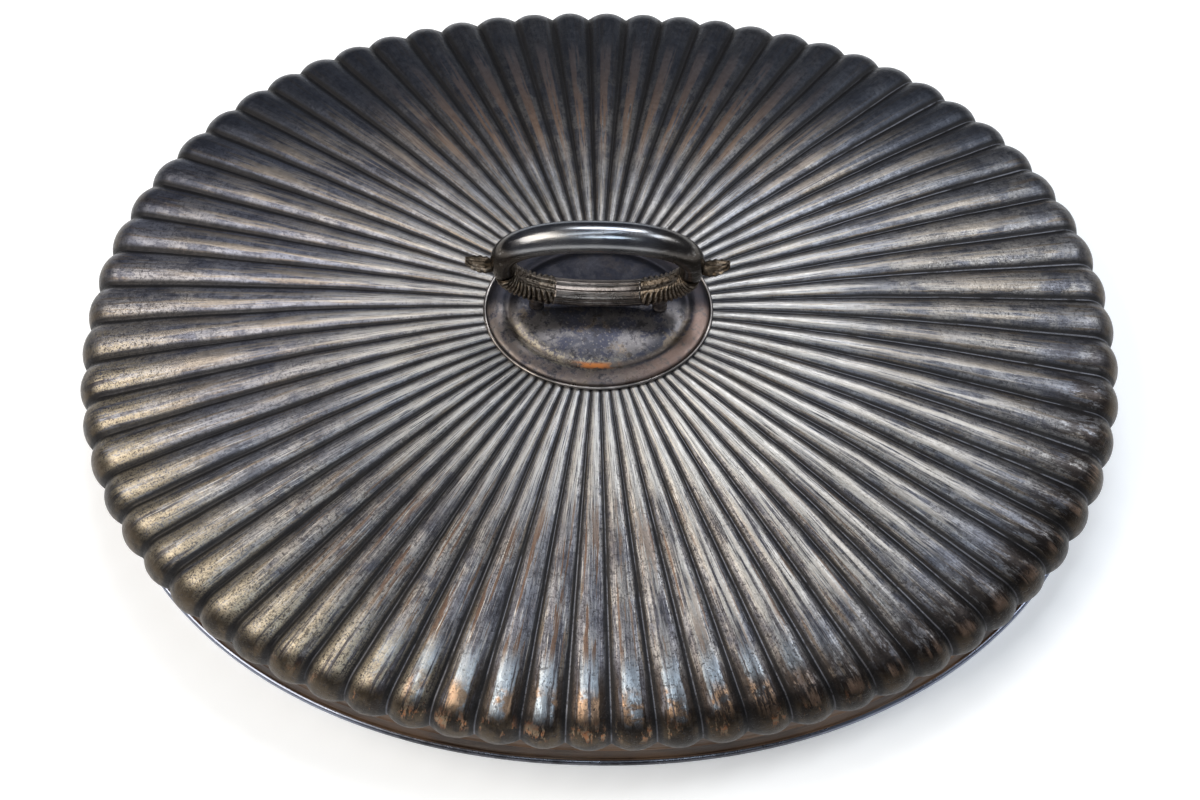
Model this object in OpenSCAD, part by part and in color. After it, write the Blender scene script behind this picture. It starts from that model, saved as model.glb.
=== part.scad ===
// Fluted oval dish cover with a lift-off loop handle.
// Origin: centre of the foot, on the surface that the cover stands on. +X runs along the length, +Z is up.

/* [Cover] */
// Length over the flutes, along X
cover_length = 460; // [420:1:500]
// Width over the flutes, along Y
cover_width = 372; // [340:1:400]
// Fullness of the plan's back half, where 2 is a true ellipse
plan_power = 2.2; // [2:0.05:2.5]
// Fullness of the plan's front half, where 2 is a true ellipse
front_power = 2.1; // [2:0.05:2.5]
// Height of the seat under the crown plate
crown_z = 72; // [66:1:84]
// Thickness of the sheet metal
sheet = 1.2; // [1:0.1:1.6]

/* [Flutes] */
// Number of flutes round the cover
flute_count = 70; // [50:2:80]
// Depth of a valley below the crests, at the shoulder
flute_depth = 3; // [1:0.1:4]
// Depth of a valley beside the crown plate, as a share of that at the shoulder
crown_depth_share = 0.3; // [0.2:0.05:0.5]
// Drift of the flutes, in degrees, towards one side of the cover
side_drift = 1.3; // [0:0.1:2]
// Drift of the flutes, in degrees, towards the ends of the cover
end_drift = -2; // [-3:0.1:0]
// Drift of the flutes, in degrees, towards the oval's four corners
corner_drift = 0.7; // [0:0.1:1.5]

/* [Shoulder] */
// Height of the widest line of the flutes
belly_z = 34; // [30:1:38]
// How far the shoulder curves in above the widest line
shoulder_run = 15; // [12:1:20]
// How far the shoulder climbs above the widest line
shoulder_rise = 16; // [12:1:20]
// How far the flutes' tips curve in below the widest line
tuck_run = 10; // [8:1:12]
// How far the flutes' tips reach below the widest line
tuck_rise = 9; // [8:0.5:12]
// Power of the dome's fall from crown to shoulder, where 1 is a straight slope
fall_power = 1.5; // [1.2:0.1:2]

/* [Foot] */
// Height of the foot wire
wire_h = 3.6; // [3:0.1:5]
// Distance from the widest line in to the outside of the foot wire
wire_inset = 5; // [4:0.5:6]
// Width of the foot wire
wire_w = 3.9; // [3:0.1:5]

/* [Crown plate] */
// Half the length of the crown plate
crown_half_l = 48; // [46:1:52]
// Half the width of the crown plate
crown_half_w = 38.5; // [36:0.5:42]
// Height of the plate's centre panel above its seat
panel_h = 3.6; // [3:0.1:5]
// Diameter of the wire soldered round the crown plate
crown_wire_d = 1.6; // [1.2:0.1:2]
// Thickness of the backing plate inside the cover
backing_t = 1.6; // [1:0.1:3]

/* [Handle] */
// Half the length of the handle's loop, to the middle of its metal
loop_half_l = 39.5; // [38:0.5:42]
// Half the height of the handle's loop, to the middle of its metal
loop_half_h = 22; // [21:0.5:25]
// Fullness of the loop, where 2 is a true ellipse
loop_power = 2.35; // [2:0.05:2.6]
// Height of the middle of the loop above the centre panel
loop_lift = 32; // [31:0.5:36]
// Diameter of the grip at the middle
grip_d = 13.5; // [11:0.5:14]
// Diameter of the grip at its ends
grip_end_d = 9.5; // [8:0.5:10]
// Width of the lower bar, along Y
bar_w = 12.6; // [10:0.2:13]
// Height of the lower bar
bar_h = 8.4; // [7:0.2:9]
// Distance of each foot and stud from the middle, along X
foot_x = 26.5; // [24:0.5:29]

/* [Fastening] */
// Diameter of the studs, to the crests of their thread
stud_d = 4; // [3.5:0.5:5]
// Rise of the thread in one turn
thread_pitch = 0.7; // [0.6:0.05:0.8]
// Turns that take a wing nut to the end of its stud
nut_turns = 6; // [4:1:8]
// Diameter of the washers
washer_d = 12; // [11:0.5:15]
// Span of a wing nut over its wings
wing_span = 27; // [22:1:28]

/* [Hidden] */
running_gap = 0.06;         // between a stud and the holes that it slides or turns in, on the radius
flute_columns = 4;          // points across one flute
plan_columns = 96;          // points round the foot
crown_columns = 72;         // points round the crown plate
wire_soft = 0.9;            // how far in the rounded upper edge of the foot wire reaches
band_seat = 0.7;            // from that edge in to the band that stands on the wire
washer_t = 1;
nut_h = 5;
nut_hub_d = 10;
wing_t = 2.4;
wing_h = 9;
foot_d = 6.4;
foot_neck_d = 5.2;
stud_root = 8;              // length of stud held in the foot
foot_rise = 11.5;           // from the centre panel up to the foot's root in the leaf arm
seat_inset = 4;             // from the crown plate's edge in to the level seat under it

end_angle = 78;             // where the shoulder's curve meets the dome, and the tips' curve meets the band
shoulder_z = belly_z + shoulder_rise * sin(end_angle);
shoulder_inset = shoulder_run * (1 - cos(end_angle));
band_inset = tuck_run * (1 - cos(end_angle));
band_foot_inset = wire_inset + wire_soft + band_seat;
band_top = belly_z - tuck_rise * sin(end_angle) + 2;
panel_z = crown_z + panel_h;
loop_z = panel_z + loop_lift;
bore_r = stud_d / 2 + running_gap;
backing_z = crown_z - sheet - backing_t;
washer_z = backing_z - washer_t;
nut_z = washer_z - nut_h;
stud_bottom = nut_z - nut_turns * thread_pitch;
foot_top = panel_z + foot_rise;

// ---- Shared shapes ----

// A closed solid through a list of rings with equal numbers of points. Each ring runs anticlockwise seen
// from the end that the list leads to. A looped list joins its last ring to its first.
module skin(rings, looped = false) {
    n = len(rings[0]);
    m = len(rings);
    spans = looped ? m : m - 1;
    sides = [for (j = [0 : spans - 1], i = [0 : n - 1])
        let (a = j * n, b = ((j + 1) % m) * n, k = (i + 1) % n)
        each [[a + i, b + i, b + k], [a + i, b + k, a + k]]];
    ends = looped ? [] : [
        [for (i = [0 : n - 1]) i],
        [for (i = [n - 1 : -1 : 0]) (m - 1) * n + i]];
    polyhedron([for (ring = rings) each ring], concat(sides, ends), convexity = 8);
}

// Distance from the cover's centre to its widest line in the direction of an angle
function plan_r(angle) = let (power = sin(angle) < 0 ? front_power : plan_power)
    pow(pow(abs(cos(angle)) / (cover_length / 2), power)
        + pow(abs(sin(angle)) / (cover_width / 2), power), -1 / power);

// Distance from the centre to an ellipse in the direction of an angle
function ellipse_r(angle, half_l, half_w) = 1 / norm([cos(angle) / half_l, sin(angle) / half_w]);

// A level ring that follows the cover's plan, set in by a distance
function plan_ring(inset, z) = [for (i = [0 : plan_columns - 1])
    let (angle = 360 * i / plan_columns, r = plan_r(angle) - inset)
    [r * cos(angle), r * sin(angle), z]];

// A level ring that follows the crown plate's edge, set in by a distance
function crown_ring(inset, z) = [for (i = [0 : crown_columns - 1])
    let (angle = 360 * i / crown_columns)
    [(crown_half_l - inset) * cos(angle), (crown_half_w - inset) * sin(angle), z]];

// ---- Fluted dome ----

// Direction of a column. The flutes aren't quite equally spaced: they drift by up to about 3 degrees.
function flute_angle(column) = let (t = 360 * column / (flute_columns * flute_count))
    t + end_drift * sin(2 * t) + corner_drift * sin(4 * t) + side_drift * cos(t);

// Share of the valley's depth at a column: 1 in a valley, 0 on a crest
function valley(column) = pow(2 * (column % flute_columns) / flute_columns - 1, 2);

// A ring of the dome. inset is measured from the widest line; crown_share runs from 0 at the shoulder to 1
// at the crown plate; tilt is the angle of the surface's normal above level; depth is the valleys' depth.
function dome_ring(inset, crown_share, z, tilt, depth, under) = [
    for (column = [0 : flute_columns * flute_count - 1])
    let (
        angle = flute_angle(column),
        outer_r = plan_r(angle) - inset,
        crown_r = ellipse_r(angle, crown_half_l, crown_half_w),
        sink = depth * valley(column) + under,
        r = outer_r + (crown_r - outer_r) * crown_share - sink * cos(tilt))
    [r * cos(angle), r * sin(angle), z - sink * sin(tilt)]];

// A ring on the rounded end of the flutes, by its angle on the curve: 0 is the widest line
function tip_ring(a, under = 0) = let (
    run = a < 0 ? tuck_run : shoulder_run,
    rise = a < 0 ? tuck_rise : shoulder_rise,
    fade = min(1, (a + end_angle + 2) / 40))
    dome_ring(run * (1 - cos(a)), 0, belly_z + rise * sin(a), atan2(run * sin(a), rise * cos(a)),
        flute_depth * fade, under);

// A ring on the dome, by its share of the way from the shoulder to the crown plate
function top_ring(share, under = 0) = dome_ring(
    shoulder_inset, share,
    crown_z - (crown_z - shoulder_z) * pow(1 - share, fall_power),
    90 - 11 * pow(1 - share, fall_power - 1),
    flute_depth * (1 - share * (1 - crown_depth_share)), under);

// A level ring inside the crown plate's edge, where the roof is flat
function seat_ring(z) = [for (column = [0 : flute_columns * flute_count - 1])
    let (angle = flute_angle(column), r = ellipse_r(angle, crown_half_l, crown_half_w) - seat_inset)
    [r * cos(angle), r * sin(angle), z]];

module fluted_dome() {
    outside = [
        for (a = [-end_angle, -46, -12, 22, 52, end_angle]) tip_ring(a),
        for (share = [0.3, 0.65, 1]) top_ring(share),
        seat_ring(crown_z)];
    inside = [
        seat_ring(crown_z - sheet),
        for (share = [1, 0.5]) top_ring(share, sheet),
        for (a = [end_angle, 30, -32, -end_angle]) tip_ring(a, sheet)];
    color("slategray") difference() {
        skin(concat(inside, outside));
        stud_holes();
    }
}

// ---- Foot ----

// Plain band soldered inside the flutes' tips
module rim_band() {
    color("dimgray") skin([
        plan_ring(band_foot_inset, wire_h),
        plan_ring(band_inset, band_top),
        plan_ring(band_inset + sheet, band_top),
        plan_ring(band_foot_inset + sheet, wire_h)], looped = true);
}

// Half-round wire that the cover stands on
module rim_wire() {
    color("gray") skin([
        plan_ring(wire_inset + wire_soft / 2, 0),
        plan_ring(wire_inset, wire_h * 0.3),
        plan_ring(wire_inset, wire_h * 0.65),
        plan_ring(wire_inset + wire_soft, wire_h),
        plan_ring(wire_inset + wire_w, wire_h),
        plan_ring(wire_inset + wire_w, 0)], looped = true);
}

// ---- Crown ----

// Pressed oval plate: a flat border, a groove and a raised panel
module crown_plate() {
    press = [[0, 0], [0, 1.7], [1.2, 2.5], [6.6, 2.9], [8.4, 2.1], [10, 2.1],
        [12, panel_h - 0.5], [14, panel_h]];
    color("rosybrown") difference() {
        skin(concat(
            [for (i = [len(press) - 1 : -1 : 1])
                crown_ring(press[i][0] + sheet, crown_z + press[i][1] - sheet)],
            [crown_ring(sheet, crown_z)],
            [for (p = press) crown_ring(p[0], crown_z + p[1])]));
        stud_holes();
    }
}

// Bright wire soldered into the corner between the crown plate and the flutes
module crown_wire() {
    r = crown_wire_d / 2;
    color("silver") skin([for (a = [-90 : 60 : 210]) crown_ring(-r - r * cos(a), crown_z + r + r * sin(a))],
        looped = true);
}

// Plate inside the cover that spreads the pull of the studs
module backing_plate() {
    margin = 8;
    color("darkgray") difference() {
        skin([crown_ring(margin, backing_z), crown_ring(margin, backing_z + backing_t)]);
        stud_holes();
    }
}

module stud_holes() {
    for (side = [-1, 1])
        translate([side * foot_x, 0, backing_z - 1]) cylinder(r = bore_r, h = 12, $fn = 48);
}

// ---- Handle ----

function signed_pow(v, p) = sign(v) * pow(abs(v), p);

// A point on the loop in X and Z, by its angle: 0 is the right-hand end and 90 is the top
function loop_point(a) = [
    loop_half_l * signed_pow(cos(a), 2 / loop_power),
    loop_z + loop_half_h * signed_pow(sin(a), 2 / loop_power)];

// A cross-section of the loop at an angle. Each section point is [outward, along Y].
function loop_ring(a, section) = let (
    here = loop_point(a),
    way = loop_point(a + 0.5) - loop_point(a - 0.5),
    out = [way[1], -way[0]] / norm(way))
    [for (p = section) [here[0] + out[0] * p[0], p[1], here[1] + out[1] * p[0]]];

function oval_section(out_r, y_r, n = 16) = [for (i = [0 : n - 1])
    [out_r * cos(360 * i / n), y_r * sin(360 * i / n)]];

grip_from = -12;
grip_to = 192;
reeds_from = -115;
reeds_to = -65;

// Round upper arc, thickest in the middle
module handle_grip() {
    steps = 36;
    color("lightsteelblue") skin([for (i = [0 : steps])
        let (
            a = grip_from + (grip_to - grip_from) * i / steps,
            r = (grip_end_d + (grip_d - grip_end_d) * pow(sin(180 * i / steps), 0.8)) / 2)
        loop_ring(a, oval_section(r, r))]);
}

// Outline of the bar, with eight soft reeds round it
function reeded_section(n = 24) = [for (i = [0 : n - 1])
    let (a = 360 * i / n, swell = 1 - 0.07 * (1 - abs(cos(a * 4))))
    [bar_h / 2 * cos(a) * swell, bar_w / 2 * sin(a) * swell]];

// Middle of the lower arc
module reeded_bar() {
    steps = 10;
    color("silver") skin([for (i = [0 : steps])
        loop_ring(reeds_from + (reeds_to - reeds_from) * i / steps, reeded_section())]);
}

// Leaf-cast arm from the reeded bar to the grip, swelling in overlapping lobes
module leaf_arm(from, to) {
    steps = 16;
    lobes = 4;
    arm_taper = 0.06;
    color("burlywood") skin([for (i = [0 : steps])
        let (
            share = i / steps,
            swell = 1 + 0.05 * sin(180 * ((share * lobes) % 1)),
            out_r = (bar_h + (grip_end_d - bar_h) * share) / 2,
            y_r = bar_w / 2 * (1 - arm_taper * share))
        loop_ring(from + (to - from) * share, oval_section(out_r * swell, y_r * swell))]);
}

module right_leaf_arm() {
    leaf_arm(reeds_to, grip_from);
}

module left_leaf_arm() {
    mirror([1, 0, 0]) leaf_arm(reeds_to, grip_from);
}

// Leaf that curls out from the end of the loop
module ear() {
    root_x = loop_half_l + grip_end_d / 2 - 1;
    length = 12;
    steps = 6;
    color("tan") skin([for (i = [0 : steps])
        let (
            share = i / steps,
            x = root_x + length * share,
            half_w = 0.6 + 3.6 * sin(35 + 125 * share),
            half_t = 0.7 + 1.5 * (1 - share),
            z = loop_z - 1 + 3.5 * pow(share, 2))
        [for (p = oval_section(half_w, half_t, 12)) [x, p[0], z + p[1]]]]);
}

module right_ear() {
    ear();
}

module left_ear() {
    mirror([1, 0, 0]) ear();
}

// ---- Fastening ----

// Turned foot that stands on the crown plate, bored for its stud
module foot() {
    translate([0, 0, panel_z]) color("peru") difference() {
        rotate_extrude($fn = 48) polygon([
            [0, 0], [foot_d / 2, 0], [foot_d / 2, 1.2], [foot_neck_d / 2 + 0.7, 2.2],
            [foot_neck_d / 2 + 0.2, 3.4], [foot_neck_d / 2 + 0.8, foot_top - panel_z - 2],
            [foot_neck_d / 2 + 0.8, foot_top - panel_z],
            [0, foot_top - panel_z]]);
        translate([0, 0, -1]) cylinder(d = stud_d, h = stud_root + 1, $fn = 48);
    }
}

module right_foot() {
    translate([foot_x, 0, 0]) foot();
}

module left_foot() {
    translate([-foot_x, 0, 0]) foot();
}

module stud() {
    color("gainsboro") translate([0, 0, stud_bottom])
        cylinder(d = stud_d, h = panel_z + stud_root - stud_bottom, $fn = 48);
}

module right_stud() {
    translate([foot_x, 0, 0]) stud();
}

module left_stud() {
    translate([-foot_x, 0, 0]) stud();
}

module washer() {
    color("goldenrod") translate([0, 0, washer_z]) difference() {
        cylinder(d = washer_d, h = washer_t, $fn = 48);
        translate([0, 0, -1]) cylinder(r = bore_r, h = washer_t + 2, $fn = 48);
    }
}

module right_washer() {
    translate([foot_x, 0, 0]) washer();
}

module left_washer() {
    translate([-foot_x, 0, 0]) washer();
}

// Wing nut: a hub with two upright wings that lean down from the cover
module wing_nut() {
    wing_root = nut_hub_d / 2 - 1.5;
    wing_reach = wing_span / 2 - wing_root;
    color("darkgoldenrod") translate([0, 0, nut_z]) difference() {
        union() {
            cylinder(d = nut_hub_d, h = nut_h, $fn = 48);
            for (turn = [0, 180]) rotate([0, 0, turn]) translate([0, wing_root, nut_h - 1])
                rotate([90, 0, 90]) translate([0, 0, -wing_t / 2]) linear_extrude(wing_t)
                    polygon([[0, 0], [wing_reach * 0.6, 0], [wing_reach, -2.5], [wing_reach, -wing_h],
                        [wing_reach * 0.65, -wing_h], [0, -nut_h + 1]]);
        }
        translate([0, 0, -wing_h]) cylinder(r = bore_r, h = nut_h + wing_h + 1, $fn = 48);
    }
}

module right_wing_nut() {
    translate([foot_x, 0, 0]) wing_nut();
}

module left_wing_nut() {
    translate([-foot_x, 0, 0]) wing_nut();
}

fluted_dome();
rim_band();
rim_wire();
crown_plate();
crown_wire();
backing_plate();
handle_grip();
reeded_bar();
left_leaf_arm();
right_leaf_arm();
left_ear();
right_ear();
left_foot();
right_foot();
left_stud();
right_stud();
left_washer();
right_washer();
left_wing_nut();
right_wing_nut();
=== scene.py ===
"""Looks of the oval fluted dish cover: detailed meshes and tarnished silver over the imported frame.

Lengths are in metres and angles in degrees unless a name says otherwise. +X runs along the cover's length,
+Y points to its back and +Z is up.
"""

import math

import bpy
import numpy as np
from mathutils import Matrix, Vector


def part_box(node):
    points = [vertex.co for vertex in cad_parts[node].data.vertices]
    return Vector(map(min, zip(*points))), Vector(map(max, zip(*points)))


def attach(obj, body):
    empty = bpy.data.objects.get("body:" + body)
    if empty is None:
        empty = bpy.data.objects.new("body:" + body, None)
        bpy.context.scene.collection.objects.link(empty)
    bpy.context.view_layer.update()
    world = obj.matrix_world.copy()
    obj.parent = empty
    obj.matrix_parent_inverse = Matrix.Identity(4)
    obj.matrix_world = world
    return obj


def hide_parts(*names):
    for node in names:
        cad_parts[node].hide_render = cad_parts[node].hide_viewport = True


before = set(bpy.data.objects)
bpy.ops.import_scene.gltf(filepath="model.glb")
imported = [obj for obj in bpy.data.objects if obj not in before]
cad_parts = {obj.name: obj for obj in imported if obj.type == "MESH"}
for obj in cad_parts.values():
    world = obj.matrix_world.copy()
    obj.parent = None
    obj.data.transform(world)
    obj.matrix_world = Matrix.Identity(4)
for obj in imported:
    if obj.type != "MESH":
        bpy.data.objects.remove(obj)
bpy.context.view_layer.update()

MM = 0.001
rng = np.random.default_rng(1870)

# ---- Sizes, from the frame and from the part's own driving dimensions ----

SHEET = 1.2 * MM
WIRE_INSET, WIRE_W = 5 * MM, 3.9 * MM
HALF_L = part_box("rim_wire")[1].x + WIRE_INSET
HALF_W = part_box("rim_wire")[1].y + WIRE_INSET
PLAN_POWER, FRONT_POWER = 2.2, 2.1
FLUTES = 70
FLUTE_COLUMNS = 16
FLUTE_DEPTH = 3 * MM
CROWN_DEPTH_SHARE = 0.3
SIDE_DRIFT, END_DRIFT, CORNER_DRIFT = 1.3, -2.0, 0.7
BELLY_Z = 34 * MM
SHOULDER_RUN, SHOULDER_RISE = 15 * MM, 16 * MM
TUCK_RUN, TUCK_RISE = 10 * MM, 9 * MM
END_ANGLE = 78
FALL_POWER = 1.5
CROWN_HALF_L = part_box("crown_plate")[1].x
CROWN_HALF_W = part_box("crown_plate")[1].y
CROWN_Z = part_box("crown_plate")[0].z
SEAT_INSET = 4 * MM
PANEL_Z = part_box("crown_plate")[1].z
RUNNING_GAP = 0.06 * MM
FOOT_X = 26.5 * MM
LOOP_HALF_L, LOOP_HALF_H, LOOP_POWER = 39.5 * MM, 22 * MM, 2.35
LOOP_Z = PANEL_Z + 32 * MM
GRIP_D, GRIP_END_D = 13.5 * MM, 9.5 * MM
GRIP_FROM, GRIP_TO = -12, 192
REEDS_FROM, REEDS_TO = -115, -65
BAR_W, BAR_H = 12.6 * MM, 8.4 * MM
ARM_TAPER = 0.06
THREAD_PITCH = 0.7 * MM
STUD_R, WASHER_R, NUT_H = 2 * MM, 6 * MM, 5 * MM

SHOULDER_Z = BELLY_Z + SHOULDER_RISE * math.sin(math.radians(END_ANGLE))
SHOULDER_INSET = SHOULDER_RUN * (1 - math.cos(math.radians(END_ANGLE)))
BORE_R = STUD_R + RUNNING_GAP


def sin(a):
    return np.sin(np.radians(a))


def cos(a):
    return np.cos(np.radians(a))


def smooth(low, high, value):
    """0 below low, 1 above high and a smooth rise between them."""
    t = np.clip((np.asarray(value, float) - low) / (high - low), 0, 1)
    return t * t * (3 - 2 * t)


def waves(x, y, length, count=10):
    """Seeded, gentle unevenness of about -1 to 1, with waves of about the given length."""
    total = 0
    for _ in range(count):
        way, phase = rng.uniform(0, 2 * math.pi, 2)
        k = 2 * math.pi / (length * rng.uniform(0.7, 1.5))
        total = total + np.cos(k * (x * math.cos(way) + y * math.sin(way)) + phase)
    return total / math.sqrt(count)


# ---- Mesh helpers ----

def add_attribute(mesh, name, values):
    """A point attribute of one number or of three numbers a point."""
    values = np.asarray(values, np.float32)
    if values.ndim == 1:
        layer = mesh.attributes.new(name, "FLOAT", "POINT")
        layer.data.foreach_set("value", values)
    else:
        layer = mesh.attributes.new(name, "FLOAT_VECTOR", "POINT")
        layer.data.foreach_set("vector", values.ravel())


def skin(name, rings, looped=False, **attributes):
    """A closed mesh through rings of equal length.

    Rings run anticlockwise seen from the end that they lead to.
    rings is an array of rings x points x 3. A looped skin joins its last ring to its first, and any other
    one is capped at both ends. Each attribute holds one value a point.
    """
    rings = np.asarray(rings, float)
    m, n = rings.shape[:2]
    index = np.arange(m * n).reshape(m, n)
    low = index if looped else index[:-1]
    high = np.roll(index, -1, 0) if looped else index[1:]
    quads = np.stack([low, np.roll(low, -1, 1), np.roll(high, -1, 1), high], -1).reshape(-1, 4)
    faces = quads.tolist()
    if not looped:
        faces += [index[0, ::-1].tolist(), index[-1].tolist()]
    mesh = bpy.data.meshes.new(name)
    mesh.from_pydata(rings.reshape(-1, 3).tolist(), [], faces)
    mesh.polygons.foreach_set("use_smooth", [True] * len(faces))
    for key, values in attributes.items():
        values = np.asarray(values, float)
        add_attribute(mesh, key, values.reshape(m * n, -1).squeeze())
    mesh.validate()
    piece = bpy.data.objects.new(name, mesh)
    bpy.context.scene.collection.objects.link(piece)
    return piece


def lathe(name, profile, x=0.0, columns=48):
    """A turned piece about an upright axis at x.

    The profile lists [radius, z] from its underside round to its top.
    """
    turn = np.arange(columns) * 360 / columns
    rings = [np.stack([x + r * cos(turn), r * sin(turn), np.full(columns, z)], -1) for r, z in profile]
    return skin(name, rings)


def combine(piece, tool, operation):
    """Joins tool to piece, or cuts it from piece, and removes tool."""
    change = piece.modifiers.new("change", "BOOLEAN")
    change.object = tool
    change.operation = operation
    change.solver = "MANIFOLD"
    bpy.context.view_layer.objects.active = piece
    bpy.ops.object.modifier_apply(modifier=change.name)
    bpy.data.objects.remove(tool)


def bore(piece, low_z, high_z, radius=BORE_R):
    """Drills both stud holes through a piece of the cover."""
    for x in (-FOOT_X, FOOT_X):
        combine(piece, lathe("drill", [[radius, low_z], [radius, high_z]], x, 40), "DIFFERENCE")


def sharpen(piece, angle=40):
    """Keeps edges crisp where two faces meet at more than an angle."""
    mesh = piece.data
    mesh.set_sharp_from_angle(angle=math.radians(angle))


def place(piece, node, body, material):
    """Puts a finished piece in the place of a CAD node."""
    piece.data.materials.clear()
    piece.data.materials.append(material)
    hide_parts(node)
    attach(piece, body)


# ---- Plan curves ----

def plan_r(angle):
    """Distance from the centre to the cover's widest line."""
    x, y = np.abs(cos(angle)) / HALF_L, np.abs(sin(angle)) / HALF_W
    power = np.where(sin(angle) < 0, FRONT_POWER, PLAN_POWER)
    return (x ** power + y ** power) ** (-1 / power)


def crown_r(angle):
    """Distance from the centre to the crown plate's edge."""
    return 1 / np.hypot(cos(angle) / CROWN_HALF_L, sin(angle) / CROWN_HALF_W)


def plan_ring(inset, z, columns=560):
    angle = np.arange(columns) * 360 / columns
    r = plan_r(angle) - inset
    return np.stack([r * cos(angle), r * sin(angle), np.full(columns, z)], -1)


def crown_ring(inset, z, columns=256):
    angle = np.arange(columns) * 360 / columns
    return np.stack([(CROWN_HALF_L - inset) * cos(angle), (CROWN_HALF_W - inset) * sin(angle),
                     np.full(columns, z)], -1)


# ---- Fluted dome ----

def flute_places():
    """Where each column stands, in flutes from the +X axis, with more columns in the narrow valleys."""
    share = (1 - np.cos(math.pi * np.arange(FLUTE_COLUMNS) / FLUTE_COLUMNS)) / 2
    return (np.arange(FLUTES)[:, None] + share[None, :]).ravel()


def flute_angle(place_):
    t = 360 * place_ / FLUTES
    return t + END_DRIFT * sin(2 * t) + CORNER_DRIFT * sin(4 * t) + SIDE_DRIFT * cos(t)


def lobe_height(place_):
    """Height across a flute: 0 in the valley, 1 on the crest, with a small fillet in the valley."""
    across = np.abs(2 * (place_ % 1) - 1)
    arch = 1 - across ** 2.15
    fillet = 0.09
    return (np.sqrt(arch ** 2 + fillet ** 2) - fillet) / (math.sqrt(1 + fillet ** 2) - fillet)


def dome_sections():
    """The rings of the sheet's outside, from the tips' underside up to the crown plate."""
    tips = [("tip", a) for a in np.linspace(-END_ANGLE, END_ANGLE, 34)]
    tops = [("top", s) for s in np.linspace(0, 1, 32)[1:]]
    return tips + tops


def dome_point(kind, where, angle, sink_share, under, depth_scale=1.0):
    """Points of one ring of the dome, for columns at the given angles."""
    if kind == "tip":
        run, rise = (TUCK_RUN, TUCK_RISE) if where < 0 else (SHOULDER_RUN, SHOULDER_RISE)
        share, inset = 0.0, run * (1 - cos(where))
        z = BELLY_Z + rise * sin(where)
        tilt = math.degrees(math.atan2(run * sin(where), rise * cos(where)))
        depth = FLUTE_DEPTH * min(1, (where + END_ANGLE + 2) / 40)
    else:
        share, inset = where, SHOULDER_INSET
        z = CROWN_Z - (CROWN_Z - SHOULDER_Z) * (1 - share) ** FALL_POWER
        tilt = 90 - 11 * (1 - share) ** (FALL_POWER - 1)
        depth = FLUTE_DEPTH * (1 - share * (1 - CROWN_DEPTH_SHARE))
    outer = plan_r(angle) - inset
    sink = depth * depth_scale * sink_share + under
    r = outer + (crown_r(angle) - outer) * share - sink * cos(tilt)
    return np.stack([r * cos(angle), r * sin(angle), z - sink * sin(tilt)], -1)


def fluted_dome():
    places = flute_places()
    angle = flute_angle(places)
    height = lobe_height(places)
    flute = np.floor(places).astype(int)
    scale = rng.uniform(0.9, 1.08, FLUTES)[flute]
    outside = np.array([dome_point(kind, where, angle, 1 - height, 0, scale)
                        for kind, where in dome_sections()])
    steps = np.linalg.norm(np.diff(outside, axis=0), axis=-1).mean(1)
    along = np.concatenate([[0], np.cumsum(steps)])
    broad = waves(outside[..., 0], outside[..., 1], 0.06) * 0.22
    hand_work = broad + waves(outside[..., 0], outside[..., 1], 0.018) * 0.1
    fade = smooth(0, 0.03, along)[:, None] * smooth(0, 0.02, along[-1] - along)[:, None]
    outside[..., 2] += hand_work * fade * MM
    seat = crown_r(angle) - SEAT_INSET
    under_seat = np.stack([seat * cos(angle), seat * sin(angle), np.full(len(angle), CROWN_Z - SHEET)], -1)
    within = [("top", 1.0), ("top", 0.75), ("top", 0.5), ("top", 0.25)]
    within += [("tip", a) for a in (END_ANGLE, 50, 22, -8, -40, -END_ANGLE)]
    inside = np.array([dome_point(kind, where, angle, 1 - height, SHEET) for kind, where in within])
    inside = np.concatenate([under_seat[None], inside])
    outside = np.concatenate([outside, under_seat[None] + [0, 0, SHEET]])
    along = np.append(along, along[-1] + SEAT_INSET)
    rings = np.concatenate([inside, outside])
    blank = np.zeros(inside.shape[:2])
    spread = np.broadcast_to(along[:, None], outside.shape[:2])
    piece = skin(
        "dome_shell", rings,
        crest=np.concatenate([blank, np.broadcast_to(height, outside.shape[:2])]),
        along=np.concatenate([blank + along[-1] / 2, spread]),
        outer=np.concatenate([blank, np.ones(outside.shape[:2])]),
        place=np.broadcast_to(places, rings.shape[:2]),
    )
    bore(piece, CROWN_Z - 6 * MM, CROWN_Z + 4 * MM)
    return piece


# ---- Foot ----

def rim_band():
    """The plain band, with a bead low on it and a fine ridge half way up."""
    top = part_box("rim_band")[1].z
    bead = [[6.62, 3.6], [6.3, 3.8], [6.15, 4.3], [6.2, 4.9], [6.6, 5.3], [6.95, 5.5], [7.0, 6.2]]
    ridge = [[7.25, 12.6], [7.15, 12.9], [7.05, 13.3], [7.15, 13.7], [7.35, 14.0]]
    outline = bead + ridge + [[7.5, 17], [7.7, 21], [7.85, 24]]
    rings = [plan_ring(i * MM, z * MM) for i, z in outline]
    rings += [plan_ring(7.92 * MM, top), plan_ring(7.92 * MM + SHEET, top), plan_ring(7.82 * MM, 3.6 * MM)]
    return skin("foot_band", rings, looped=True)


def rim_wire():
    """The foot wire: an oval section, cut level where it stands."""
    low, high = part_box("rim_wire")
    width, height = WIRE_W, high.z - low.z
    rings = []
    for turn in range(-150, 210, 15):
        across, up = np.cos(math.radians(turn)), np.sin(math.radians(turn))
        across, up = np.sign(across) * abs(across) ** 0.75, np.sign(up) * abs(up) ** 0.75
        z = max(low.z, low.z + height / 2 + up * height / 2)
        rings.append(plan_ring(WIRE_INSET + width / 2 - across * width / 2, z))
    return skin("foot_wire", rings, looped=True)


# ---- Crown ----

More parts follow.
